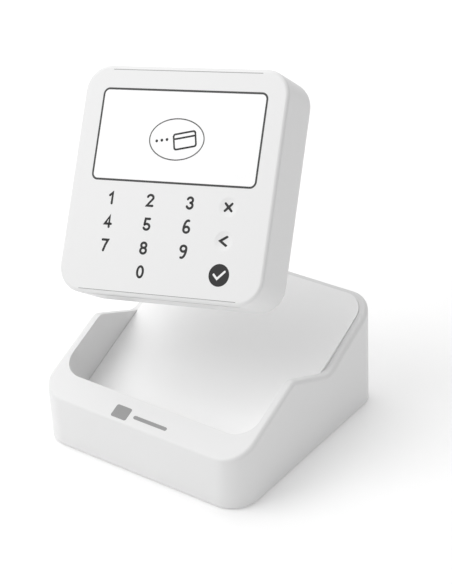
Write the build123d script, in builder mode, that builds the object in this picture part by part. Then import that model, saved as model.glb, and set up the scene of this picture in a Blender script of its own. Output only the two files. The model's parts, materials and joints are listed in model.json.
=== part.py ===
from build123d import *
import math
import os

os.makedirs("parts", exist_ok=True)

# ---------------------------------------------------------------- cradle sizes (mm)
CRADLE_W = 93.8
CRADLE_D = 94.0
CRADLE_CORNER = 10.8
SHELL_BOTTOM = 0.7
SHELL_WALL = 2.8
TOP_ROUND = 1.6
FRONT_TOP = 21.1
PEAK_Y = -10.9
PEAK_Z = 37.3
PEAK_ROUND = 4.5
NOTCH_Y = 12.6
NOTCH_Z = 27.0
NOTCH_ROUND = 8.0
BACK_TOP = 44.4
CUT_OVER = 6.0

# the bed the reader lies on: a plane sloping up towards the back
BED_SLOPE = 25.0
BED_FRONT_Y = -28.8
BED_FRONT_Z = 9.3
BED_PANEL_T = 2.2
DECK_T = 2.0
BAY_W = 87.0
BAY_LEN = 80.5
BAY_CORNER = 9.0
BAY_DEPTH = 18.2
BAY_LIP_WALL = 2.2
LIP_SKIN = 2.8
PANEL_GAP = 0.1
DECK_WINDOW_W = 62.0
DECK_WINDOW_LEN = 72.5
DECK_WINDOW_CORNER = 8.0

# base, fixings and electronics of the cradle
PLATE_BOTTOM = 1.5
PLATE_TOP = 3.5
PLATE_INSET = 3.1
PAD_INSET = 3.6
BOSS_X = 35.0
BOSS_FRONT_Y = -37.5
BOSS_REAR_Y = 36.0
BOSS_R = 3.0
BOSS_FRONT_TOP = 23.0
BOSS_REAR_TOP = 35.0
SCREW_PILOT_R = 1.15
SCREW_R = 1.1
SCREW_HEAD_R = 2.4
SCREW_HEAD_T = 1.4
SCREW_END = 11.0
SCREW_HOLE_R = 1.5
WEIGHT_W = 62.0
WEIGHT_D = 30.0
WEIGHT_T = 7.0
WEIGHT_Y = 5.0
CRADLE_PCB_W = 46.0
CRADLE_PCB_D = 24.0
CRADLE_PCB_Y = 32.0
CRADLE_PCB_Z = 14.0
PCB_T = 1.6
POST_X = 19.0
POST_FRONT_Y = 23.5
POST_REAR_Y = 40.5
POST_R = 2.2
USB_W = 9.0
USB_T = 3.2
USB_LEN = 7.6
USB_SKIN = 0.35
USB_TONGUE_W = 6.6
USB_TONGUE_T = 0.7
USB_CLEAR = 0.35
USB_SETBACK = 0.3

# sprung charging pins
PIN_V = 6.4
PIN_PITCH = 4.0
PIN_COUNT = 4
PIN_R = 0.7
PIN_BORE_R = 0.76
PIN_PROUD = 0.8
PIN_LOW = -6.2
PIN_HOLE_R = 1.1
PIN_BLOCK_W = 20.0
PIN_BLOCK_LEN = 4.0
PIN_BLOCK_T = 4.8
PIN_TIP_ROUND = 0.45

# ---------------------------------------------------------------- reader sizes (mm)
# the reader is modelled in its own frame: x right, y up, z out of the face
READER_CENTRE = (-11.737, -1.437, 97.636)
READER_X_DIR = (0.97788, 0.17188, 0.11923)
READER_NORMAL = (0.06852, -0.80171, 0.59378)
READER_W = 84.6
READER_H = 86.0
BODY_Y = 0.9
READER_T = 23.0
READER_CORNER = 10.0
REAR_ROUND = 4.5
FACE_ROUND = 1.3
SIDE_WALL = 1.9
FACE_WALL = 1.8
CAVITY_END = 19.4

WINDOW_W = 67.8
WINDOW_H = 34.4
WINDOW_X = 0.2
WINDOW_Y = 17.8
WINDOW_CORNER = 2.2
WINDOW_T = 1.2
WINDOW_GAP = 0.1
LCD_W = 61.0
LCD_H = 28.4
LCD_T = 2.6
LCD_GAP = 0.4

FUNCTION_X = 24.6
CANCEL_Y = -6.9
BACK_KEY_Y = -19.2
DISH_R = 3.7
DISH_DEPTH = 0.3

SLOT_HALF_W = 27.6
SLOT_TOP = 2.2
SLOT_BOTTOM = 3.6
GROOVE_HALF_W = 33.5
GROOVE_TOP = 2.0
GROOVE_BOTTOM = 3.8
GROOVE_DEPTH = 0.8

POST2_X = 33.0
POST2_Y = 24.0
POST2_R = 2.2
REAR_SCREW_PILOT_R = 0.95
REAR_SCREW_R = 0.9
REAR_SCREW_HEAD_R = 1.6
REAR_SCREW_HEAD_T = 0.8
REAR_SCREW_END = 15.5
REAR_Y = 2.5
REAR_OPEN_W = 72.0
REAR_OPEN_H = 67.0
REAR_OPEN_CORNER = 8.0
REAR_LEDGE_W = 66.0
REAR_LEDGE_H = 61.0
REAR_LEDGE_CORNER = 6.0
REAR_LEDGE_N = 21.0
REAR_COVER_W = 71.4
REAR_COVER_H = 66.4
REAR_COVER_CORNER = 7.7
GASKET_T = 0.3
GASKET_W = 1.5

FILM_W = 60.0
FILM_H = 34.5
FILM_Y = -19.5
FILM_T = 0.3
GUIDE_W = 60.0
GUIDE_TOP_Y = -5.0
GUIDE_BOTTOM_Y = -39.8
GUIDE_BACK = 6.2
CHANNEL_TOP_Y = -7.5
CONTACT_X = 2.54
CONTACT_Y = 7.62
CONTACT_CENTRE_X = 9.0
CONTACT_CENTRE_Y = -22.0
CONTACT_W = 1.7
CONTACT_H = 2.0
CONTACT_T = 0.3
ANTENNA_W = 58.0
ANTENNA_H = 27.0
ANTENNA_BAND = 3.0
ANTENNA_T = 0.4

PCB_W = 76.0
PCB_CORNER = 8.0
PCB_FRONT = 9.0
PCB_HOLE_R = 2.6
PCB_BACK = PCB_FRONT + PCB_T
SHIELD_W = 26.0
SHIELD_H = 22.0
SHIELD_T = 2.8
SHIELD_X = -14.0
SHIELD_Y = 20.0
CELL_R = 6.25
CELL_T = 3.2
CELL_X = 22.0
CELL_Y = 24.0
BUZZER_R = 4.5
BUZZER_T = 4.0
BUZZER_HOLE_R = 1.0
BUZZER_X = 14.0
BUZZER_Y = 9.0
BATTERY_W = 48.0
BATTERY_H = 34.0
BATTERY_T = 7.5
BATTERY_Y = -14.0
BATTERY_ROUND = 1.5
PORT_Y = -12.0
PORT_U = 41.5

BUTTON_Y = 22.0
BUTTON_N = 12.6
BUTTON_W = 10.0
BUTTON_T = 3.2
BUTTON_PROUD = 0.6
BUTTON_CLEAR = 0.35
BUTTON_ROUND = 1.4
FLANGE_W = 12.4
FLANGE_T = 4.6
FLANGE_START = 0.35
FLANGE_THICK = 0.5
SWITCH_U = 38.7
SWITCH_LEN = 2.8
SWITCH_W = 6.0
SWITCH_T = 3.6

SEAT_GAP = 0.5
CONTACT_PAD_R = 1.2
CONTACT_PAD_HOLE_R = 1.25
CONTACT_PAD_T = 1.7

# ---------------------------------------------------------------- shared planes
SIN_BED = math.sin(math.radians(BED_SLOPE))
COS_BED = math.cos(math.radians(BED_SLOPE))
bed = Plane(origin=(0, BED_FRONT_Y, BED_FRONT_Z), x_dir=(1, 0, 0), z_dir=(0, -SIN_BED, COS_BED))
reader = Plane(origin=READER_CENTRE, x_dir=READER_X_DIR, z_dir=READER_NORMAL)
reader_axis = Axis(READER_CENTRE, READER_NORMAL)
reader_side = Plane(origin=READER_CENTRE, x_dir=reader.y_dir, z_dir=reader.x_dir)
reader_foot = Plane(
    origin=reader.origin - reader.y_dir * (READER_H / 2 - BODY_Y + 1),
    x_dir=reader.x_dir,
    z_dir=reader.y_dir,
)


def side_point(v, n):
    """Y and Z of a point v mm up the bed slope and n mm above the bed."""
    return (BED_FRONT_Y + v * COS_BED - n * SIN_BED, BED_FRONT_Z + v * SIN_BED + n * COS_BED)


def deep(n):
    """Plane parallel to the reader's face, n mm behind it."""
    return reader.offset(-n)


BOSS_POINTS = [
    (-BOSS_X, BOSS_FRONT_Y),
    (BOSS_X, BOSS_FRONT_Y),
    (-BOSS_X, BOSS_REAR_Y),
    (BOSS_X, BOSS_REAR_Y),
]

# ================================================================ cradle
# hollow under the sloping deck and under the front lip
with BuildPart() as cradle_hollow:
    with BuildSketch(Plane.XY.offset(SHELL_BOTTOM - CUT_OVER)):
        RectangleRounded(
            CRADLE_W - 2 * SHELL_WALL,
            CRADLE_D - 2 * SHELL_WALL,
            CRADLE_CORNER - SHELL_WALL,
        )
    extrude(amount=BACK_TOP + 2 * CUT_OVER)
    with BuildSketch(Plane.YZ.offset(-CRADLE_W)):
        with BuildLine():
            lip_inner = side_point(-BAY_LIP_WALL, BAY_DEPTH - LIP_SKIN)
            deck_front = side_point(-BAY_LIP_WALL, -BED_PANEL_T - DECK_T)
            deck_rear = side_point(BAY_LEN + 2 * CUT_OVER, -BED_PANEL_T - DECK_T)
            Polyline(
                (-CRADLE_D / 2 - 1, SHELL_BOTTOM - CUT_OVER - 1),
                (-CRADLE_D / 2 - 1, FRONT_TOP - LIP_SKIN - 0.6),
                lip_inner,
                deck_front,
                deck_rear,
                (deck_rear[0], SHELL_BOTTOM - CUT_OVER - 1),
                close=True,
            )
        make_face()
    extrude(amount=2 * CRADLE_W, mode=Mode.INTERSECT)

with BuildPart() as cradle_shell:
    with BuildSketch(Plane.XY.offset(SHELL_BOTTOM)):
        RectangleRounded(CRADLE_W, CRADLE_D, CRADLE_CORNER)
    extrude(amount=BACK_TOP + CUT_OVER)
    with BuildSketch(Plane.YZ.offset(-CRADLE_W)) as side_profile:
        with BuildLine():
            Polyline(
                (-CRADLE_D / 2, 0),
                (-CRADLE_D / 2, FRONT_TOP),
                (PEAK_Y, PEAK_Z),
                (NOTCH_Y, NOTCH_Z),
                (CRADLE_D / 2, BACK_TOP),
                (CRADLE_D / 2, 0),
                close=True,
            )
        make_face()
        fillet(side_profile.vertices().sort_by_distance((PEAK_Y, PEAK_Z))[0], PEAK_ROUND)
        fillet(side_profile.vertices().sort_by_distance((NOTCH_Y, NOTCH_Z))[0], NOTCH_ROUND)
    extrude(amount=2 * CRADLE_W, mode=Mode.INTERSECT)
    rim_edges = cradle_shell.edges().filter_by(Axis.Z, reverse=True)
    rim_edges = rim_edges.filter_by(lambda e: e.center().Z > FRONT_TOP - 1)
    rim_edges = rim_edges.filter_by(
        lambda e: abs(e.center().X) > CRADLE_W / 4 or abs(e.center().Y) > CRADLE_D / 2 - 1
    )
    fillet(rim_edges, TOP_ROUND)
    # bay for the reader, down to the deck the bed panel lies on
    with BuildSketch(bed.offset(-BED_PANEL_T)):
        with Locations((0, BAY_LEN / 2)):
            RectangleRounded(BAY_W, BAY_LEN, BAY_CORNER)
    extrude(amount=BACK_TOP, mode=Mode.SUBTRACT)
    add(cradle_hollow.part, mode=Mode.SUBTRACT)
    # opening in the deck under the bed panel
    with BuildSketch(bed.offset(-BED_PANEL_T - DECK_T - 1)):
        with Locations((0, BAY_LEN / 2)):
            RectangleRounded(DECK_WINDOW_W, DECK_WINDOW_LEN, DECK_WINDOW_CORNER)
    extrude(amount=DECK_T + 2, mode=Mode.SUBTRACT)
    # screw bosses
    with BuildSketch(Plane.XY.offset(PLATE_TOP)):
        with Locations((-BOSS_X, BOSS_FRONT_Y), (BOSS_X, BOSS_FRONT_Y)):
            Circle(BOSS_R)
    extrude(amount=BOSS_FRONT_TOP - PLATE_TOP)
    with BuildSketch(Plane.XY.offset(PLATE_TOP)):
        with Locations((-BOSS_X, BOSS_REAR_Y), (BOSS_X, BOSS_REAR_Y)):
            Circle(BOSS_R)
    extrude(amount=BOSS_REAR_TOP - PLATE_TOP)
    with BuildSketch(Plane.XY.offset(PLATE_TOP - 1)):
        with Locations(*BOSS_POINTS):
            Circle(SCREW_PILOT_R)
    extrude(amount=SCREW_END, mode=Mode.SUBTRACT)
    # power inlet in the back wall
    with BuildSketch(Plane.XZ.offset(-CRADLE_D / 2 - 1)):
        with Locations((0, CRADLE_PCB_Z + PCB_T + USB_T / 2)):
            RectangleRounded(USB_W + 2 * USB_CLEAR, USB_T + 2 * USB_CLEAR, USB_T / 2)
    extrude(amount=SHELL_WALL + 2, mode=Mode.SUBTRACT)
cradle_shell.part.label = "cradle_shell"

with BuildPart() as cradle_bed:
    with BuildSketch(bed.offset(-BED_PANEL_T)):
        with Locations((0, BAY_LEN / 2)):
            RectangleRounded(
                BAY_W - 2 * PANEL_GAP,
                BAY_LEN - 2 * PANEL_GAP,
                BAY_CORNER - PANEL_GAP,
            )
        with Locations((0, PIN_V)):
            with GridLocations(PIN_PITCH, 1, PIN_COUNT, 1):
                Circle(PIN_HOLE_R, mode=Mode.SUBTRACT)
    extrude(amount=BED_PANEL_T)
cradle_bed.part.label = "cradle_bed"

with BuildPart() as charge_pin_block:
    with BuildSketch(bed.offset(-BED_PANEL_T - PIN_BLOCK_T)):
        with Locations((0, PIN_V)):
            RectangleRounded(PIN_BLOCK_W, PIN_BLOCK_LEN, 1)
            with GridLocations(PIN_PITCH, 1, PIN_COUNT, 1):
                Circle(PIN_BORE_R, mode=Mode.SUBTRACT)
    extrude(amount=PIN_BLOCK_T)
charge_pin_block.part.label = "charge_pin_block"

with BuildPart() as charge_pins:
    with BuildSketch(bed.offset(PIN_LOW)):
        with Locations((0, PIN_V)):
            with GridLocations(PIN_PITCH, 1, PIN_COUNT, 1):
                Circle(PIN_R)
    extrude(amount=PIN_PROUD - PIN_LOW)
    bed_axis = Axis((0, BED_FRONT_Y, BED_FRONT_Z), (0, -SIN_BED, COS_BED))
    fillet(charge_pins.faces().sort_by(bed_axis)[-PIN_COUNT:].edges(), PIN_TIP_ROUND)
charge_pins.part.label = "charge_pins"

with BuildPart() as cradle_base_plate:
    with BuildSketch(Plane.XY.offset(PLATE_BOTTOM)):
        RectangleRounded(
            CRADLE_W - 2 * PLATE_INSET,
            CRADLE_D - 2 * PLATE_INSET,
            CRADLE_CORNER - PLATE_INSET,
        )
        with Locations(*BOSS_POINTS):
            Circle(SCREW_HOLE_R, mode=Mode.SUBTRACT)
    extrude(amount=PLATE_TOP - PLATE_BOTTOM)
    with BuildSketch(Plane.XY.offset(PLATE_BOTTOM)):
        with Locations(*BOSS_POINTS):
            Circle(SCREW_HEAD_R + 0.1)
    extrude(amount=SCREW_HEAD_T, mode=Mode.SUBTRACT)
    with BuildSketch(Plane.XY.offset(PLATE_TOP)):
        with Locations(
            (-POST_X, POST_FRONT_Y),
            (POST_X, POST_FRONT_Y),
            (-POST_X, POST_REAR_Y),
            (POST_X, POST_REAR_Y),
        ):
            Circle(POST_R)
    extrude(amount=CRADLE_PCB_Z - PLATE_TOP)
cradle_base_plate.part.label = "cradle_base_plate"

with BuildPart() as base_pad:
    with BuildSketch(Plane.XY):
        RectangleRounded(
            CRADLE_W - 2 * PAD_INSET,
            CRADLE_D - 2 * PAD_INSET,
            CRADLE_CORNER - PAD_INSET,
        )
    extrude(amount=PLATE_BOTTOM)
base_pad.part.label = "base_pad"

with BuildPart() as base_screws:
    with BuildSketch(Plane.XY.offset(PLATE_BOTTOM)):
        with Locations(*BOSS_POINTS):
            Circle(SCREW_HEAD_R)
            RegularPolygon(0.9, 6, mode=Mode.SUBTRACT)
    extrude(amount=SCREW_HEAD_T * 0.6)
    with BuildSketch(Plane.XY.offset(PLATE_BOTTOM + SCREW_HEAD_T * 0.6)):
        with Locations(*BOSS_POINTS):
            Circle(SCREW_HEAD_R)
    extrude(amount=SCREW_HEAD_T * 0.4)
    with BuildSketch(Plane.XY.offset(PLATE_BOTTOM + SCREW_HEAD_T)):
        with Locations(*BOSS_POINTS):
            Circle(SCREW_R)
    extrude(amount=SCREW_END - SCREW_HEAD_T)
base_screws.part.label = "base_screws"

with BuildPart() as cradle_weight:
    with BuildSketch(Plane.XY.offset(PLATE_TOP)):
        with Locations((0, WEIGHT_Y)):
            RectangleRounded(WEIGHT_W, WEIGHT_D, 3)
    extrude(amount=WEIGHT_T)
cradle_weight.part.label = "cradle_weight"

with BuildPart() as cradle_pcb:
    with BuildSketch(Plane.XY.offset(CRADLE_PCB_Z)):
        with Locations((0, CRADLE_PCB_Y)):
            RectangleRounded(CRADLE_PCB_W, CRADLE_PCB_D, 1.5)
    extrude(amount=PCB_T)
cradle_pcb.part.label = "cradle_pcb"

with BuildPart() as power_inlet:
    with BuildSketch(Plane.XZ.offset(-CRADLE_D / 2 + USB_SETBACK)):
        with Locations((0, CRADLE_PCB_Z + PCB_T + USB_T / 2)):
            RectangleRounded(USB_W, USB_T, USB_T / 2 - 0.1)
            RectangleRounded(
                USB_W - 2 * USB_SKIN,
                USB_T - 2 * USB_SKIN,
                USB_T / 2 - USB_SKIN - 0.1,
                mode=Mode.SUBTRACT,
            )
    extrude(amount=USB_LEN)
    with BuildSketch(Plane.XZ.offset(-CRADLE_D / 2 + USB_SETBACK + USB_LEN - 1)):
        with Locations((0, CRADLE_PCB_Z + PCB_T + USB_T / 2)):
            RectangleRounded(USB_W, USB_T, USB_T / 2 - 0.1)
    extrude(amount=1)
    with BuildSketch(Plane.XZ.offset(-CRADLE_D / 2 + USB_SETBACK + 1)):
        with Locations((0, CRADLE_PCB_Z + PCB_T + USB_T / 2)):
            Rectangle(USB_TONGUE_W, USB_TONGUE_T)
    extrude(amount=USB_LEN - 2)
power_inlet.part.label = "power_inlet"

# ================================================================ reader
DISH_SPHERE_R = (DISH_R**2 + DISH_DEPTH**2) / (2 * DISH_DEPTH)
REAR_POSTS = [
    (-POST2_X, -POST2_Y),
    (POST2_X, -POST2_Y),
    (-POST2_X, POST2_Y),
    (POST2_X, POST2_Y),
]

# the pads meet the cradle's pins when the reader's foot is SEAT_GAP up the bed
CONTACT_PAD_Y = PIN_V - SEAT_GAP - READER_H / 2 + BODY_Y
CONTACT_PAD_POINTS = [
    (-1.5 * PIN_PITCH, CONTACT_PAD_Y),
    (-0.5 * PIN_PITCH, CONTACT_PAD_Y),
    (0.5 * PIN_PITCH, CONTACT_PAD_Y),
    (1.5 * PIN_PITCH, CONTACT_PAD_Y),
]

with BuildPart() as reader_housing:
    with BuildSketch(deep(READER_T)):
        with Locations((0, BODY_Y)):
            RectangleRounded(READER_W, READER_H, READER_CORNER)
    extrude(amount=READER_T)
    fillet(reader_housing.faces().sort_by(reader_axis)[0].edges(), REAR_ROUND)
    fillet(reader_housing.faces().sort_by(reader_axis)[-1].edges(), FACE_ROUND)
    with BuildSketch(deep(CAVITY_END)):
        with Locations((0, BODY_Y)):
            RectangleRounded(
                READER_W - 2 * SIDE_WALL,
                READER_H - 2 * SIDE_WALL,
                READER_CORNER - SIDE_WALL,
            )
    extrude(amount=CAVITY_END - FACE_WALL, mode=Mode.SUBTRACT)
    with BuildSketch(deep(REAR_LEDGE_N)):
        with Locations((0, REAR_Y)):
            RectangleRounded(REAR_OPEN_W, REAR_OPEN_H, REAR_OPEN_CORNER)
    extrude(amount=-CUT_OVER, mode=Mode.SUBTRACT)
    with BuildSketch(deep(REAR_LEDGE_N + 1)):
        with Locations((0, REAR_Y)):
            RectangleRounded(REAR_LEDGE_W, REAR_LEDGE_H, REAR_LEDGE_CORNER)
    extrude(amount=REAR_LEDGE_N + 1 - CAVITY_END + 1, mode=Mode.SUBTRACT)
    # seats for the charging contacts in the rear wall
    with BuildSketch(deep(READER_T)):
        with Locations(*CONTACT_PAD_POINTS):
            Circle(CONTACT_PAD_HOLE_R)
    extrude(amount=CONTACT_PAD_T, mode=Mode.SUBTRACT)
    # posts for the rear screws
    with BuildSketch(deep(REAR_LEDGE_N)):
        with Locations(*REAR_POSTS):
            Circle(POST2_R)
    extrude(amount=REAR_LEDGE_N - FACE_WALL)
    with BuildSketch(deep(REAR_LEDGE_N + 1)):
        with Locations(*REAR_POSTS):
            Circle(REAR_SCREW_PILOT_R)
    extrude(amount=REAR_LEDGE_N - REAR_SCREW_END + 1.5, mode=Mode.SUBTRACT)
    # recess and opening for the display
    with BuildSketch(deep(WINDOW_T)):
        with Locations((WINDOW_X, WINDOW_Y)):
            RectangleRounded(WINDOW_W, WINDOW_H, WINDOW_CORNER)
    extrude(amount=CUT_OVER, mode=Mode.SUBTRACT)
    with BuildSketch(deep(FACE_WALL + 1)):
        with Locations((WINDOW_X, WINDOW_Y)):
            Rectangle(LCD_W + 2 * LCD_GAP, LCD_H + 2 * LCD_GAP)
    extrude(amount=CUT_OVER, mode=Mode.SUBTRACT)
    # shallow dishes for the two function keys
    with Locations(
        reader.from_local_coords((FUNCTION_X, CANCEL_Y, DISH_SPHERE_R - DISH_DEPTH)),
        reader.from_local_coords((FUNCTION_X, BACK_KEY_Y, DISH_SPHERE_R - DISH_DEPTH)),
    ):
        Sphere(DISH_SPHERE_R, mode=Mode.SUBTRACT)
    # card slot with its wider lead-in groove in the bottom edge
    with BuildSketch(reader_foot):
        with Locations((0, (GROOVE_TOP + GROOVE_BOTTOM) / 2)):
            RectangleRounded(
                2 * GROOVE_HALF_W,
                GROOVE_BOTTOM - GROOVE_TOP,
                (GROOVE_BOTTOM - GROOVE_TOP) / 2 - 0.05,
            )
    extrude(amount=GROOVE_DEPTH + 1, mode=Mode.SUBTRACT)
    with BuildSketch(reader_foot):
        with Locations((0, (SLOT_TOP + SLOT_BOTTOM) / 2)):
            Rectangle(2 * SLOT_HALF_W, SLOT_BOTTOM - SLOT_TOP)
    extrude(amount=SIDE_WALL + 2, mode=Mode.SUBTRACT)
    # openings in the left wall for the port and the power button
    with BuildSketch(reader_side.offset(-READER_W / 2 - 1)):
        with Locations((PORT_Y, USB_T / 2 - PCB_FRONT)):
            RectangleRounded(USB_W + 2 * USB_CLEAR, USB_T + 2 * USB_CLEAR, USB_T / 2)
        with Locations((BUTTON_Y, -BUTTON_N)):
            RectangleRounded(
                BUTTON_W + 2 * BUTTON_CLEAR,
                BUTTON_T + 2 * BUTTON_CLEAR,
                BUTTON_ROUND + BUTTON_CLEAR,
            )
    extrude(amount=SIDE_WALL + 2, mode=Mode.SUBTRACT)
reader_housing.part.label = "reader_housing"

with BuildPart() as display_window:
    with BuildSketch(deep(WINDOW_T)):
        with Locations((WINDOW_X, WINDOW_Y)):
            RectangleRounded(
                WINDOW_W - 2 * WINDOW_GAP,
                WINDOW_H - 2 * WINDOW_GAP,
                WINDOW_CORNER - WINDOW_GAP,
            )
    extrude(amount=WINDOW_T)
display_window.part.label = "display_window"

with BuildPart() as lcd_panel:
    with BuildSketch(deep(WINDOW_T + LCD_T)):
        with Locations((WINDOW_X, WINDOW_Y)):
            Rectangle(LCD_W, LCD_H)
    extrude(amount=LCD_T)
lcd_panel.part.label = "lcd_panel"

with BuildPart() as nfc_antenna:
    with BuildSketch(deep(WINDOW_T + LCD_T + ANTENNA_T)):
        with Locations((WINDOW_X, WINDOW_Y)):
            RectangleRounded(ANTENNA_W, ANTENNA_H, 3)
            RectangleRounded(
                ANTENNA_W - 2 * ANTENNA_BAND,
                ANTENNA_H - 2 * ANTENNA_BAND,
                1.5,
                mode=Mode.SUBTRACT,
            )
    extrude(amount=ANTENNA_T)
nfc_antenna.part.label = "nfc_antenna"

with BuildPart() as touch_film:
    with BuildSketch(deep(FACE_WALL + FILM_T)):
        with Locations((0, FILM_Y)):
            RectangleRounded(FILM_W, FILM_H, 1.5)
    extrude(amount=FILM_T)
touch_film.part.label = "touch_film"

GUIDE_TOP = FACE_WALL + FILM_T + 0.1
with BuildPart() as card_guide:
    with BuildSketch(deep(GUIDE_BACK)):
        with Locations((0, (GUIDE_TOP_Y + GUIDE_BOTTOM_Y) / 2)):
            Rectangle(GUIDE_W, GUIDE_TOP_Y - GUIDE_BOTTOM_Y)
    extrude(amount=GUIDE_BACK - GUIDE_TOP)
    with BuildSketch(deep(SLOT_BOTTOM)):
        with Locations((0, (CHANNEL_TOP_Y + GUIDE_BOTTOM_Y - 2) / 2)):
            Rectangle(2 * SLOT_HALF_W, CHANNEL_TOP_Y - GUIDE_BOTTOM_Y + 2)
    extrude(amount=SLOT_BOTTOM, mode=Mode.SUBTRACT)
card_guide.part.label = "card_guide"

with BuildPart() as card_contacts:
    with BuildSketch(deep(SLOT_BOTTOM)):
        with Locations((CONTACT_CENTRE_X, CONTACT_CENTRE_Y)):
            with GridLocations(CONTACT_Y, CONTACT_X, 2, 4):
                Rectangle(CONTACT_H, CONTACT_W)
    extrude(amount=CONTACT_T)
card_contacts.part.label = "card_contacts"

with BuildPart() as main_pcb:
    with BuildSketch(deep(PCB_BACK)):
        RectangleRounded(PCB_W, PCB_W, PCB_CORNER)
        with Locations(*REAR_POSTS):
            Circle(PCB_HOLE_R, mode=Mode.SUBTRACT)
    extrude(amount=PCB_T)
main_pcb.part.label = "main_pcb"

with BuildPart() as shield_can:
    with BuildSketch(deep(PCB_BACK + SHIELD_T)):
        with Locations((SHIELD_X, SHIELD_Y)):
            RectangleRounded(SHIELD_W, SHIELD_H, 0.8)
    extrude(amount=SHIELD_T)
shield_can.part.label = "shield_can"

with BuildPart() as backup_cell:
    with BuildSketch(deep(PCB_BACK + CELL_T)):
        with Locations((CELL_X, CELL_Y)):
            Circle(CELL_R)
    extrude(amount=CELL_T)
    fillet(backup_cell.faces().sort_by(reader_axis)[0].edges(), 0.4)
backup_cell.part.label = "backup_cell"

with BuildPart() as buzzer:
    with BuildSketch(deep(PCB_BACK + BUZZER_T)):
        with Locations((BUZZER_X, BUZZER_Y)):
            Circle(BUZZER_R)
    extrude(amount=BUZZER_T)
    with BuildSketch(deep(PCB_BACK + BUZZER_T)):
        with Locations((BUZZER_X, BUZZER_Y)):
            Circle(BUZZER_HOLE_R)
    extrude(amount=1, mode=Mode.SUBTRACT)
buzzer.part.label = "buzzer"

with BuildPart() as battery:
    with BuildSketch(deep(PCB_BACK + BATTERY_T)):
        with Locations((0, BATTERY_Y)):
            RectangleRounded(BATTERY_W, BATTERY_H, BATTERY_ROUND)
    extrude(amount=BATTERY_T)
    fillet(battery.faces().sort_by(reader_axis)[0].edges(), 1.0)
battery.part.label = "battery"

with BuildPart() as reader_port:
    with BuildSketch(reader_side.offset(-PORT_U)):
        with Locations((PORT_Y, USB_T / 2 - PCB_FRONT)):
            RectangleRounded(USB_W, USB_T, USB_T / 2 - 0.1)
            RectangleRounded(
                USB_W - 2 * USB_SKIN,
                USB_T - 2 * USB_SKIN,
                USB_T / 2 - USB_SKIN - 0.1,
                mode=Mode.SUBTRACT,
            )
    extrude(amount=USB_LEN)
    with BuildSketch(reader_side.offset(-PORT_U + USB_LEN - 1)):
        with Locations((PORT_Y, USB_T / 2 - PCB_FRONT)):
            RectangleRounded(USB_W, USB_T, USB_T / 2 - 0.1)
    extrude(amount=1)
    with BuildSketch(reader_side.offset(-PORT_U + 1)):
        with Locations((PORT_Y, USB_T / 2 - PCB_FRONT)):
            Rectangle(USB_TONGUE_W, USB_TONGUE_T)
    extrude(amount=USB_LEN - 2)
reader_port.part.label = "reader_port"

with BuildPart() as power_button:
    with BuildSketch(reader_side.offset(-READER_W / 2 - BUTTON_PROUD)):
        with Locations((BUTTON_Y, -BUTTON_N)):
            RectangleRounded(BUTTON_W, BUTTON_T, BUTTON_ROUND)
    extrude(amount=SIDE_WALL + BUTTON_PROUD + FLANGE_START)
    side_axis = Axis(READER_CENTRE, READER_X_DIR)
    fillet(power_button.faces().sort_by(side_axis)[0].edges(), 0.3)
    with BuildSketch(reader_side.offset(-READER_W / 2 + SIDE_WALL + FLANGE_START)):
        with Locations((BUTTON_Y, -BUTTON_N)):
            RectangleRounded(FLANGE_W, FLANGE_T, BUTTON_ROUND)
    extrude(amount=FLANGE_THICK)
power_button.part.label = "power_button"

with BuildPart() as button_switch:
    with BuildSketch(reader_side.offset(-SWITCH_U)):
        with Locations((BUTTON_Y, -PCB_BACK - SWITCH_T / 2)):
            Rectangle(SWITCH_W, SWITCH_T)
    extrude(amount=SWITCH_LEN)
button_switch.part.label = "button_switch"

with BuildPart() as rear_gasket:
    with BuildSketch(deep(REAR_LEDGE_N + GASKET_T)):
        with Locations((0, REAR_Y)):
            RectangleRounded(REAR_COVER_W - 0.4, REAR_COVER_H - 0.4, REAR_COVER_CORNER - 0.2)
            RectangleRounded(
                REAR_COVER_W - 2 * GASKET_W,
                REAR_COVER_H - 2 * GASKET_W,
                REAR_COVER_CORNER - GASKET_W,
                mode=Mode.SUBTRACT,
            )
    extrude(amount=GASKET_T)
rear_gasket.part.label = "rear_gasket"

with BuildPart() as rear_cover:
    with BuildSketch(deep(READER_T)):
        with Locations((0, REAR_Y)):
            RectangleRounded(REAR_COVER_W, REAR_COVER_H, REAR_COVER_CORNER)
        with Locations(*REAR_POSTS):
            Circle(REAR_SCREW_R + 0.2, mode=Mode.SUBTRACT)
    extrude(amount=READER_T - REAR_LEDGE_N - GASKET_T)
    with BuildSketch(deep(READER_T)):
        with Locations(*REAR_POSTS):
            Circle(REAR_SCREW_HEAD_R + 0.1)
    extrude(amount=REAR_SCREW_HEAD_T, mode=Mode.SUBTRACT)
rear_cover.part.label = "rear_cover"

with BuildPart() as rear_screws:
    with BuildSketch(deep(READER_T)):
        with Locations(*REAR_POSTS):
            Circle(REAR_SCREW_HEAD_R)
            RegularPolygon(0.7, 6, mode=Mode.SUBTRACT)
    extrude(amount=REAR_SCREW_HEAD_T / 2)
    with BuildSketch(deep(READER_T - REAR_SCREW_HEAD_T / 2)):
        with Locations(*REAR_POSTS):
            Circle(REAR_SCREW_HEAD_R)
    extrude(amount=REAR_SCREW_HEAD_T / 2)
    with BuildSketch(deep(READER_T - REAR_SCREW_HEAD_T)):
        with Locations(*REAR_POSTS):
            Circle(REAR_SCREW_R)
    extrude(amount=READER_T - REAR_SCREW_HEAD_T - REAR_SCREW_END)
rear_screws.part.label = "rear_screws"

with BuildPart() as charge_contacts:
    with BuildSketch(deep(READER_T)):
        with Locations(*CONTACT_PAD_POINTS):
            Circle(CONTACT_PAD_R)
    extrude(amount=CONTACT_PAD_T)
charge_contacts.part.label = "charge_contacts"

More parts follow.
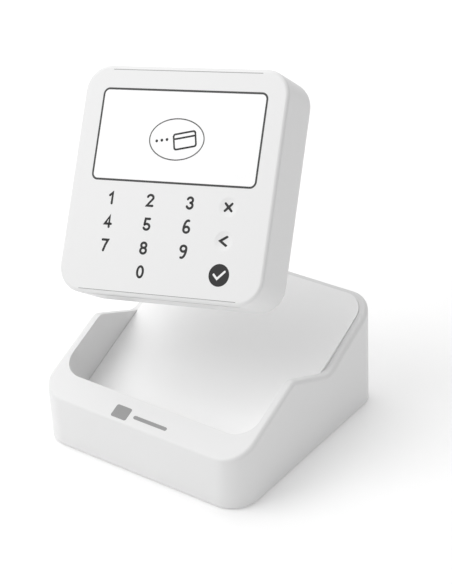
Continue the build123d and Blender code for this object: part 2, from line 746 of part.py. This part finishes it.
export_step(cradle_shell.part, "parts/cradle_shell.step")
export_step(cradle_bed.part, "parts/cradle_bed.step")
export_step(charge_pin_block.part, "parts/charge_pin_block.step")
export_step(charge_pins.part, "parts/charge_pins.step")
export_step(cradle_base_plate.part, "parts/cradle_base_plate.step")
export_step(base_pad.part, "parts/base_pad.step")
export_step(base_screws.part, "parts/base_screws.step")
export_step(cradle_weight.part, "parts/cradle_weight.step")
export_step(cradle_pcb.part, "parts/cradle_pcb.step")
export_step(power_inlet.part, "parts/power_inlet.step")
export_step(reader_housing.part, "parts/reader_housing.step")
export_step(display_window.part, "parts/display_window.step")
export_step(lcd_panel.part, "parts/lcd_panel.step")
export_step(nfc_antenna.part, "parts/nfc_antenna.step")
export_step(touch_film.part, "parts/touch_film.step")
export_step(card_guide.part, "parts/card_guide.step")
export_step(card_contacts.part, "parts/card_contacts.step")
export_step(main_pcb.part, "parts/main_pcb.step")
export_step(shield_can.part, "parts/shield_can.step")
export_step(backup_cell.part, "parts/backup_cell.step")
export_step(buzzer.part, "parts/buzzer.step")
export_step(battery.part, "parts/battery.step")
export_step(reader_port.part, "parts/reader_port.step")
export_step(power_button.part, "parts/power_button.step")
export_step(button_switch.part, "parts/button_switch.step")
export_step(rear_gasket.part, "parts/rear_gasket.step")
export_step(rear_cover.part, "parts/rear_cover.step")
export_step(rear_screws.part, "parts/rear_screws.step")
export_step(charge_contacts.part, "parts/charge_contacts.step")
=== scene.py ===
import json
import math

import bpy
from mathutils import Matrix, Vector


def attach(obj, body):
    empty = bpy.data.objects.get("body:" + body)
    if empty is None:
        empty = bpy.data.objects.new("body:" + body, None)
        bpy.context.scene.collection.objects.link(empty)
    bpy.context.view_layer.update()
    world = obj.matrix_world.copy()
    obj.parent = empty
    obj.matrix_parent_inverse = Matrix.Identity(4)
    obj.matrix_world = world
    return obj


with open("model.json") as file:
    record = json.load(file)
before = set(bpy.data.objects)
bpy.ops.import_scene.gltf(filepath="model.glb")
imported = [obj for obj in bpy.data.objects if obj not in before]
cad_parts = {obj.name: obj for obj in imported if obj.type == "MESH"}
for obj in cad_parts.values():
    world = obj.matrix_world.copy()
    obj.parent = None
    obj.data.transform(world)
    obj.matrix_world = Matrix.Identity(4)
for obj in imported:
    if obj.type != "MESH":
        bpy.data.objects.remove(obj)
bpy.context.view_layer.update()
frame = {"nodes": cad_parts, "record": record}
MM = 0.001

# ---------------------------------------------------------------- places and sizes (mm)
# the reader's face: x right, y up, z out of the face, as in the part's source
READER_CENTRE = Vector((-11.737, -1.437, 97.636))
READER_X_DIR = Vector((0.97788, 0.17188, 0.11923))
READER_NORMAL = Vector((0.06852, -0.80171, 0.59378))

# the top of the cradle's front lip: x right, y up its slope, z out of it
LIP_FRONT_Y = -47.0
LIP_FRONT_Z = 21.1
WALL_PEAK_Y = -10.9
WALL_PEAK_Z = 37.3
LIP_ORIGIN = Vector((0, LIP_FRONT_Y, LIP_FRONT_Z))
LIP_SLOPE = math.atan2(WALL_PEAK_Z - LIP_FRONT_Z, WALL_PEAK_Y - LIP_FRONT_Y)

# a print stands this far out of its surface and reaches this far into it
INK_PROUD = 0.03
INK_SUNK = 0.12
# a digit's first oval stands this much higher than its strokes, and a second oval as much again
OVAL_LIFT = 0.004
# the second cancel bar stands higher than the first by this share of INK_PROUD
CROSSING_LIFT = 0.2
WINDOW_W = 67.8
WINDOW_H = 34.4
WINDOW_X = 0.2
WINDOW_Y = 17.8
WINDOW_CORNER = 2.2
FRAME_LINE = 0.76

KEY_COLUMNS = (-24.1, -7.6, 8.9)
KEY_ROWS = (-6.3, -15.15, -24.0, -32.8)
DIGIT_TALL = 4.9
DIGIT_LINE = 0.9
DIGIT_ASPECT = 0.66
FUNCTION_X = 24.6
CANCEL_Y = -6.9
BACK_KEY_Y = -19.2
CONFIRM_Y = -31.6
CONFIRM_R = 4.1
TICK_LINE = 0.8
MARK_LINE = 0.88
CANCEL_ARM = 1.35
CHEVRON_RIGHT = 1.3
CHEVRON_LEFT = 1.5
CHEVRON_HALF_TALL = 1.75
# the cancel and back marks lie in shallow dishes
MARK_LEVEL = -0.2

# the grey line along the face's top edge is painted shade of the edge's rounding; the line at the bottom
# end is a seam
TOP_SHADE_LINE_Y = 42.35
TOP_SHADE_LINE_REACH = 31.0
SEAM_BOTTOM_Y = -40.7
SEAM_BOTTOM_REACH = 32.5
SEAM_AND_SHADE_LINE_W = 0.22
SEAM_AND_SHADE_LINE_LEVEL = -0.005

OVAL_X = -0.3
OVAL_Y = 16.8
OVAL_HALF_W = 11.5
OVAL_HALF_H = 7.9
OVAL_LINE = 0.42
ICON_LINE = 0.68
CARD_W = 9.6
CARD_H = 6.4
CARD_CORNER = 1.1
CARD_INNER_CORNER = CARD_CORNER - ICON_LINE + 0.15
CARD_RIGHT = 3.4
CARD_DOWN = 0.2
CARD_TILT = math.radians(12)
STRIPE_UP = 1.1
STRIPE_REACH = 4.0
DOT_R = 0.55
DOT_LEFT = 8.2
DOT_DOWN = 0.9
DOT_STEP_X = 2.1
DOT_STEP_Y = 0.35

BADGE_UP = 4.2
BADGE_SQUARE_X = -8.6
BADGE_SQUARE_W = 7.0
BADGE_SQUARE_H = 5.4
BADGE_CORNER = 0.8
BADGE_BAR_LEFT = -2.2
BADGE_BAR_RIGHT = 11.6
BADGE_BAR_LINE = 1.5


def placed(origin, x_dir, normal):
    """Matrix from a flat drawing in mm to the row frame in metres."""
    x_dir = x_dir.normalized()
    normal = normal.normalized()
    y_dir = normal.cross(x_dir)
    turn = Matrix((x_dir, y_dir, normal)).transposed().to_4x4()
    return Matrix.Translation(origin * MM) @ turn @ Matrix.Scale(MM, 4)


FACE = placed(READER_CENTRE, READER_X_DIR, READER_NORMAL)
LIP = placed(
    LIP_ORIGIN,
    Vector((1, 0, 0)),
    Vector((0, -math.sin(LIP_SLOPE), math.cos(LIP_SLOPE))),
)


# ---------------------------------------------------------------- materials
GRAIN_SCALE = 900.0
GRAIN_DEPTH = 0.00005
DRIFT_SCALE = 35.0
GLOSS_DRIFT = 0.04


def surface(name, colour, roughness, coat=0.0, metal=0.0, grain=0.0, spread=0.03):
    """A procedural surface: a fine grain in the relief and a slow drift in colour and gloss."""
    mat = bpy.data.materials.new(name)
    mat.use_nodes = True
    nodes = mat.node_tree.nodes
    links = mat.node_tree.links
    shader = nodes["Principled BSDF"]
    shader.inputs["Metallic"].default_value = metal
    shader.inputs["Coat Weight"].default_value = coat
    shader.inputs["Coat Roughness"].default_value = 0.12
    place = nodes.new("ShaderNodeTexCoord")
    drift = nodes.new("ShaderNodeTexNoise")
    drift.inputs["Scale"].default_value = DRIFT_SCALE
    drift.inputs["Detail"].default_value = 3.0
    links.new(place.outputs["Object"], drift.inputs["Vector"])
    tint = nodes.new("ShaderNodeMapRange")
    tint.inputs["To Min"].default_value = 1 - spread
    tint.inputs["To Max"].default_value = 1.0
    links.new(drift.outputs["Fac"], tint.inputs["Value"])
    mix = nodes.new("ShaderNodeVectorMath")
    mix.operation = "SCALE"
    mix.inputs[0].default_value = colour[:3]
    links.new(tint.outputs["Result"], mix.inputs["Scale"])
    links.new(mix.outputs["Vector"], shader.inputs["Base Color"])
    gloss = nodes.new("ShaderNodeMapRange")
    gloss.inputs["To Min"].default_value = max(roughness - GLOSS_DRIFT, 0.02)
    gloss.inputs["To Max"].default_value = roughness + GLOSS_DRIFT
    links.new(drift.outputs["Fac"], gloss.inputs["Value"])
    links.new(gloss.outputs["Result"], shader.inputs["Roughness"])
    if grain:
        fine = nodes.new("ShaderNodeTexNoise")
        fine.inputs["Scale"].default_value = GRAIN_SCALE
        fine.inputs["Detail"].default_value = 2.0
        links.new(place.outputs["Object"], fine.inputs["Vector"])
        bump = nodes.new("ShaderNodeBump")
        bump.inputs["Strength"].default_value = grain
        bump.inputs["Distance"].default_value = GRAIN_DEPTH
        links.new(fine.outputs["Fac"], bump.inputs["Height"])
        links.new(bump.outputs["Normal"], shader.inputs["Normal"])
    return mat


def grey(value):
    return (value, value, value)


MATERIALS = {
    "cradle_white": surface("cradle_white", grey(0.83), 0.42, grain=0.15),
    # the bed is the cradle's white plastic, made brighter here as painted light that lifts the shade the
    # reader casts on it
    "bed_white": surface("bed_white", grey(0.98), 0.45, grain=0.15),
    "reader_white": surface("reader_white", grey(0.83), 0.36, grain=0.12),
    "screen_gloss": surface("screen_gloss", grey(0.93), 0.12, coat=0.3, spread=0.01),
    "dark_plastic": surface("dark_plastic", (0.02, 0.02, 0.022), 0.5, grain=0.2),
    "pad_rubber": surface("pad_rubber", (0.03, 0.03, 0.03), 0.8, grain=0.3),
    "screw_steel": surface("screw_steel", (0.6, 0.6, 0.62), 0.3, metal=1.0, grain=0.1),
    "weight_steel": surface("weight_steel", (0.4, 0.4, 0.42), 0.4, metal=1.0, grain=0.1),
    "gold_contact": surface("gold_contact", (0.9, 0.66, 0.28), 0.22, metal=1.0, grain=0.05),
    "antenna_copper": surface("antenna_copper", (0.75, 0.4, 0.22), 0.3, metal=1.0),
    "circuit_board": surface("circuit_board", (0.02, 0.16, 0.06), 0.4, coat=0.3),
    "battery_wrap": surface("battery_wrap", (0.16, 0.18, 0.22), 0.4),
}
INK = surface("ink_dark", grey(0.008), 0.55, grain=0.1)
INK_SOFT = surface("ink_soft", grey(0.03), 0.45, grain=0.1)
INK_WHITE = surface("ink_white", grey(0.9), 0.4, spread=0.01)
# pale grey for the lip badge's print, the face's bottom seam and the painted shade along the face's top
# edge
PALE_INK_AND_SHADE = surface("pale_ink_and_shade", grey(0.3), 0.4, spread=0.05)

# plane, body, slot and material of each kind of print
DARK_PRINT = (FACE, "reader", "dark_plastic", INK)
SOFT_PRINT = (FACE, "reader", "dark_plastic", INK_SOFT)
# the bottom seam and the painted shade along the face's top edge
SEAM_AND_SHADE_PRINT = (FACE, "reader", "dark_plastic", PALE_INK_AND_SHADE)
TICK_PRINT = (FACE, "reader", "reader_white", INK_WHITE)
LIP_PRINT = (LIP, "cradle", "dark_plastic", PALE_INK_AND_SHADE)

for part in frame["record"]["subparts"]:
    node = frame["nodes"][part["node"]]
    node.data.materials.clear()
    node.data.materials.append(MATERIALS[part["material_slot"]])


# ---------------------------------------------------------------- flat drawings
def solid(name, top, bottom, faces, body, mat):
    """A thin raised print: the top outline's points, the bottom's, and its top faces."""
    count = len(top)
    mesh = bpy.data.meshes.new(name)
    edges = [(a, b) for face in faces for a, b in zip(face, face[1:] + face[:1])]
    known = set(edges)
    walls = [(b, a, a + count, b + count) for a, b in edges if (b, a) not in known]
    under = [tuple(i + count for i in reversed(face)) for face in faces]
    mesh.from_pydata([*top, *bottom], [], [*faces, *under, *walls])
    mesh.update()
    mesh.materials.append(mat)
    piece = bpy.data.objects.new(name, mesh)
    bpy.context.scene.collection.objects.link(piece)
    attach(piece, body)


def printed(name, points, faces, plane, body, mat, level=0.0, proud=INK_PROUD):
    """A flat drawing in mm made into a print on its plane."""
    top = [plane @ Vector((x, y, level + proud)) for x, y in points]
    bottom = [plane @ Vector((x, y, level - INK_SUNK)) for x, y in points]
    solid(name, top, bottom, faces, body, mat)


def filled(name, outline, plane, body, slot, mat, level=0.0, proud=INK_PROUD):
    """A print that fills one outline."""
    printed(name, outline, [list(range(len(outline)))], plane, body, mat, level, proud)


def closed_line(name, outer, inner, plane, body, slot, mat, level=0.0):
    """A print between two outlines with the same number of points."""
    count = len(outer)
    faces = []
    for i in range(count):
        j = (i + 1) % count
        faces.append([i, j, j + count, i + count])
    printed(name, [*outer, *inner], faces, plane, body, mat, level)


def rounded(cx, cy, w, h, r, steps=10, turn=0.0):
    """Points round a rounded rectangle, anticlockwise."""
    points = []
    for quarter, (sx, sy) in enumerate(((1, 1), (-1, 1), (-1, -1), (1, -1))):
        for i in range(steps + 1):
            a = math.radians(90 * (quarter + i / steps))
            x = sx * (w / 2 - r) + r * math.cos(a)
            y = sy * (h / 2 - r) + r * math.sin(a)
            turned_x = x * math.cos(turn) - y * math.sin(turn)
            turned_y = x * math.sin(turn) + y * math.cos(turn)
            points.append((cx + turned_x, cy + turned_y))
    return points


def oval(cx, cy, half_w, half_h, steps=96):
    turns = [2 * math.pi * i / steps for i in range(steps)]
    return [(cx + half_w * math.cos(a), cy + half_h * math.sin(a)) for a in turns]


MITRE_LIMIT = 0.5
CAP_STEPS = 8


def stroke(points, width):
    """Outline of an open line of one width with round ends and corners mitred up to a limit."""
    half = width / 2
    left, right = [], []
    heads = [(Vector(b) - Vector(a)).normalized() for a, b in zip(points, points[1:])]
    for i, p in enumerate(points):
        before = heads[max(i - 1, 0)]
        after = heads[min(i, len(heads) - 1)]
        middle = (before + after).normalized()
        side = Vector((-middle.y, middle.x)) * half / max(middle.dot(after), MITRE_LIMIT)
        left.append(Vector(p) + side)
        right.append(Vector(p) - side)

    def cap(centre, head):
        start = math.atan2(head.y, head.x) + math.pi / 2
        turns = [start - math.pi * k / CAP_STEPS for k in range(1, CAP_STEPS)]
        return [Vector(centre) + Vector((math.cos(a), math.sin(a))) * half for a in turns]

    outline = [*left, *cap(points[-1], heads[-1]), *reversed(right), *cap(points[0], -heads[0])]
    return [tuple(p) for p in reversed(outline)]


def line(name, points, width, plane, body, slot, mat, level=0.0, proud=INK_PROUD):
    filled(name, stroke(points, width), plane, body, slot, mat, level, proud)


# ---------------------------------------------------------------- display
def window_outline(grow):
    """The window's outline, with this much added to its width and height."""
    corner = WINDOW_CORNER + grow / 2
    return rounded(WINDOW_X, WINDOW_Y, WINDOW_W + grow, WINDOW_H + grow, corner)


def display_prints():
    closed_line(
        "display_frame_line",
        window_outline(FRAME_LINE),
        window_outline(-FRAME_LINE),
        *SOFT_PRINT,
    )
    closed_line(
        "tap_area_oval",
        oval(OVAL_X, OVAL_Y, OVAL_HALF_W, OVAL_HALF_H),
        oval(OVAL_X, OVAL_Y, OVAL_HALF_W - OVAL_LINE, OVAL_HALF_H - OVAL_LINE),
        *SOFT_PRINT,
    )
    card_x = OVAL_X + CARD_RIGHT
    card_y = OVAL_Y - CARD_DOWN
    inner_w = CARD_W - 2 * ICON_LINE
    inner_h = CARD_H - 2 * ICON_LINE
    closed_line(
        "tap_card_outline",
        rounded(card_x, card_y, CARD_W, CARD_H, CARD_CORNER, turn=CARD_TILT),
        rounded(card_x, card_y, inner_w, inner_h, CARD_INNER_CORNER, turn=CARD_TILT),
        *DARK_PRINT,
    )
    mid_x = card_x - STRIPE_UP * math.sin(CARD_TILT)
    mid_y = card_y + STRIPE_UP * math.cos(CARD_TILT)
    run = STRIPE_REACH * math.cos(CARD_TILT)
    rise = STRIPE_REACH * math.sin(CARD_TILT)
    stripe = [(mid_x - run, mid_y - rise), (mid_x + run, mid_y + rise)]
    line("tap_card_stripe", stripe, ICON_LINE, *DARK_PRINT)
    for i in range(3):
        dot_x = OVAL_X - DOT_LEFT + DOT_STEP_X * i
        dot_y = OVAL_Y - DOT_DOWN + DOT_STEP_Y * i
        filled(f"tap_dot_{i + 1}", oval(dot_x, dot_y, DOT_R, DOT_R, 32), *DARK_PRINT)


# ---------------------------------------------------------------- keypad
def arc(cx, cy, rx, ry, start, end, steps=20):
    """Points on an oval's arc, in degrees anticlockwise from its right end."""
    turns = [math.radians(start + (end - start) * i / steps) for i in range(steps + 1)]
    return [(cx + rx * math.cos(a), cy + ry * math.sin(a)) for a in turns]


def digit_lines():
    """Each digit's centrelines about its middle, in mm: open lines, and closed ovals as (x, y, rx, ry).

    w and h are the centrelines' half width and half height.
    """
    w = (DIGIT_TALL * DIGIT_ASPECT - DIGIT_LINE) / 2
    h = (DIGIT_TALL - DIGIT_LINE) / 2
    bowl = h * 0.53
    low = -h + bowl
    high = h - bowl * 0.92
    six_back = [*arc(w * 0.35, low + 0.1, w * 1.35, h * 1.62, 78, 180, 24)]
    return {
        "0": ([], [(0, 0, w, h)]),
        "1": ([[(-w * 0.65, h * 0.5), (w * 0.3, h), (w * 0.3, -h)]], []),
        "2": ([[*arc(0, high, w, bowl * 0.92, 165, -32), (-w, -h), (w, -h)]], []),
        "3": (
            [
                arc(0, high, w * 0.92, bowl * 0.92, 160, -80),
                arc(0, low, w, bowl, 80, -160),
            ],
            [],
        ),
        "4": ([[(w * 1.1, -h * 0.42), (-w * 1.1, -h * 0.42), (w * 0.45, h), (w * 0.45, -h)]], []),
        "5": (
            [
                [(w * 0.85, h), (-w * 0.65, h), (-w * 0.82, -h * 0.05)],
                arc(-w * 0.05, low, w * 1.05, bowl, 138, -155),
            ],
            [],
        ),
        "6": ([six_back], [(0, low, w, bowl)]),
        "7": ([[(-w, h), (w, h), (w * 0.25, h * 0.1), (-w * 0.35, -h)]], []),
        "8": ([], [(0, high, w * 0.9, bowl * 0.9), (0, low, w, bowl)]),
        "9": ([[(-x, -y) for x, y in six_back]], [(0, -low, w, bowl)]),
    }


def digit(text, x, y):
    """One printed digit, drawn as strokes of one width."""
    lines, ovals = digit_lines()[text]
    half = DIGIT_LINE / 2
    for i, points in enumerate(lines):
        line(
            f"digit_{text}_stroke_{i + 1}",
            [(x + px, y + py) for px, py in points],
            DIGIT_LINE,
            *DARK_PRINT,
        )
    for i, (cx, cy, rx, ry) in enumerate(ovals):
        closed_line(
            f"digit_{text}_oval_{i + 1}",
            oval(x + cx, y + cy, rx + half, ry + half, 48),
            oval(x + cx, y + cy, rx - half, ry - half, 48),
            *DARK_PRINT,
            level=OVAL_LIFT * (i + 1),
        )


def cancel_mark():
    for i, way in enumerate((1, -1)):
        ends = [(FUNCTION_X + side * CANCEL_ARM, CANCEL_Y + side * way * CANCEL_ARM) for side in (-1, 1)]
        proud = INK_PROUD * (1 + CROSSING_LIFT * i)
        line(f"cancel_bar_{i + 1}", ends, MARK_LINE, *DARK_PRINT, level=MARK_LEVEL, proud=proud)


def back_mark():
    right = FUNCTION_X + CHEVRON_RIGHT
    corners = [
        (right, BACK_KEY_Y + CHEVRON_HALF_TALL),
        (FUNCTION_X - CHEVRON_LEFT, BACK_KEY_Y),
        (right, BACK_KEY_Y - CHEVRON_HALF_TALL),
    ]
    line("back_chevron", corners, MARK_LINE, *DARK_PRINT, level=MARK_LEVEL)


def confirm_mark():
    filled("confirm_disc", oval(FUNCTION_X, CONFIRM_Y, CONFIRM_R, CONFIRM_R, 72), *DARK_PRINT)
    corners = [
        (FUNCTION_X - 2.1, CONFIRM_Y + 0.1),
        (FUNCTION_X - 0.6, CONFIRM_Y - 1.35),
        (FUNCTION_X + 2.2, CONFIRM_Y + 1.45),
    ]
    line("confirm_tick", corners, TICK_LINE, *TICK_PRINT, level=INK_PROUD)


def keypad_prints():
    for i in range(9):
        digit(str(i + 1), KEY_COLUMNS[i % 3], KEY_ROWS[i // 3])
    digit("0", KEY_COLUMNS[1], KEY_ROWS[3])
    cancel_mark()
    back_mark()
    confirm_mark()


# ---------------------------------------------------------------- plain badge on the lip
def lip_badge():
    square = rounded(BADGE_SQUARE_X, BADGE_UP, BADGE_SQUARE_W, BADGE_SQUARE_H, BADGE_CORNER)
    filled("badge_square", square, *LIP_PRINT)
    line("badge_bar", [(BADGE_BAR_LEFT, BADGE_UP), (BADGE_BAR_RIGHT, BADGE_UP)], BADGE_BAR_LINE, *LIP_PRINT)


# ---------------------------------------------------------------- a seam at the face's bottom end and painted shade along its top edge
def face_seam_and_shade_lines():
    # the top line is painted shade along the face's top edge; the bottom line is a seam
    seam_and_shade_lines = (
        ("top_edge_painted_shade", TOP_SHADE_LINE_Y, TOP_SHADE_LINE_REACH),
        ("bottom_seam", SEAM_BOTTOM_Y, SEAM_BOTTOM_REACH),
    )
    for name, y, reach in seam_and_shade_lines:
        line(name, [(-reach, y), (reach, y)], SEAM_AND_SHADE_LINE_W, *SEAM_AND_SHADE_PRINT, level=SEAM_AND_SHADE_LINE_LEVEL)


display_prints()
keypad_prints()
face_seam_and_shade_lines()
lip_badge()


# ---------------------------------------------------------------- studio
FLOOR_HALF = 6.0
FLOOR_GREY = 0.92
FLOOR_GLOW = 0.15
WORLD_LIGHT = 0.46
LIGHT_TARGET = Vector((0, 0, 0.06))


def pale_floor():
    mesh = bpy.data.meshes.new("floor")
    corners = [(x * FLOOR_HALF, y * FLOOR_HALF, 0) for x, y in ((-1, -1), (1, -1), (1, 1), (-1, 1))]
    mesh.from_pydata(corners, [], [(0, 1, 2, 3)])
    floor = bpy.data.objects.new("floor", mesh)
    bpy.context.scene.collection.objects.link(floor)
    mat = bpy.data.materials.new("floor_pale")
    mat.use_nodes = True
    shader = mat.node_tree.nodes["Principled BSDF"]
    shader.inputs["Base Color"].default_value = (*grey(FLOOR_GREY), 1)
    shader.inputs["Emission Color"].default_value = (1, 1, 1, 1)
    shader.inputs["Emission Strength"].default_value = FLOOR_GLOW
    shader.inputs["Roughness"].default_value = 0.9
    shader.inputs["Specular IOR Level"].default_value = 0.1
    mesh.materials.append(mat)


def white_world():
    world = bpy.data.worlds.new("studio")
    world.use_nodes = True
    background = world.node_tree.nodes["Background"]
    background.inputs["Color"].default_value = (1, 1, 1, 1)
    background.inputs["Strength"].default_value = WORLD_LIGHT
    bpy.context.scene.world = world


def panel(name, place, width, power):
    """A square light panel turned to face the object."""
    light = bpy.data.lights.new(name, "AREA")
    light.shape = "SQUARE"
    light.size = width
    light.energy = power
    lamp = bpy.data.objects.new(name, light)
    bpy.context.scene.collection.objects.link(lamp)
    lamp.location = place
    lamp.rotation_mode = "QUATERNION"
    lamp.rotation_quaternion = (LIGHT_TARGET - Vector(place)).to_track_quat("-Z", "Y")


def studio():
    pale_floor()
    white_world()
    panel("key_light", (-0.7, -0.7, 1.0), 1.0, 7.5)
    panel("top_light", (-0.45, 0.3, 1.2), 1.6, 9.0)


# ---------------------------------------------------------------- camera
CAMERA_PLACE = Vector((0.3473, -0.4437, 0.38546))
CAMERA_TURN = math.radians(37.262)
CAMERA_DOWN = math.radians(30.418)
CAMERA_ROLL = math.radians(3.003)
CAMERA_LENS = 107.88
CAMERA_SENSOR = 36.0
CLIP_START = 0.01
CLIP_END = 50


def camera():
    data = bpy.data.cameras.new("camera")
    data.lens = CAMERA_LENS
    data.sensor_width = CAMERA_SENSOR
    data.sensor_fit = "AUTO"
    data.clip_start = CLIP_START
    data.clip_end = CLIP_END
    cam = bpy.data.objects.new("camera", data)
    bpy.context.scene.collection.objects.link(cam)
    ahead = Vector(
        (
            -math.sin(CAMERA_TURN) * math.cos(CAMERA_DOWN),
            math.cos(CAMERA_TURN) * math.cos(CAMERA_DOWN),
            -math.sin(CAMERA_DOWN),
        )
    )
    level = Vector((math.cos(CAMERA_TURN), math.sin(CAMERA_TURN), 0))
    up = level.cross(ahead)
    right = level * math.cos(CAMERA_ROLL) - up * math.sin(CAMERA_ROLL)
    top = level * math.sin(CAMERA_ROLL) + up * math.cos(CAMERA_ROLL)
    turn = Matrix((right, top, -ahead)).transposed().to_4x4()
    cam.matrix_world = Matrix.Translation(CAMERA_PLACE) @ turn
    bpy.context.scene.camera = cam


studio()
camera()
bpy.context.scene.view_settings.view_transform = "Standard"

bpy.context.view_layer.update()
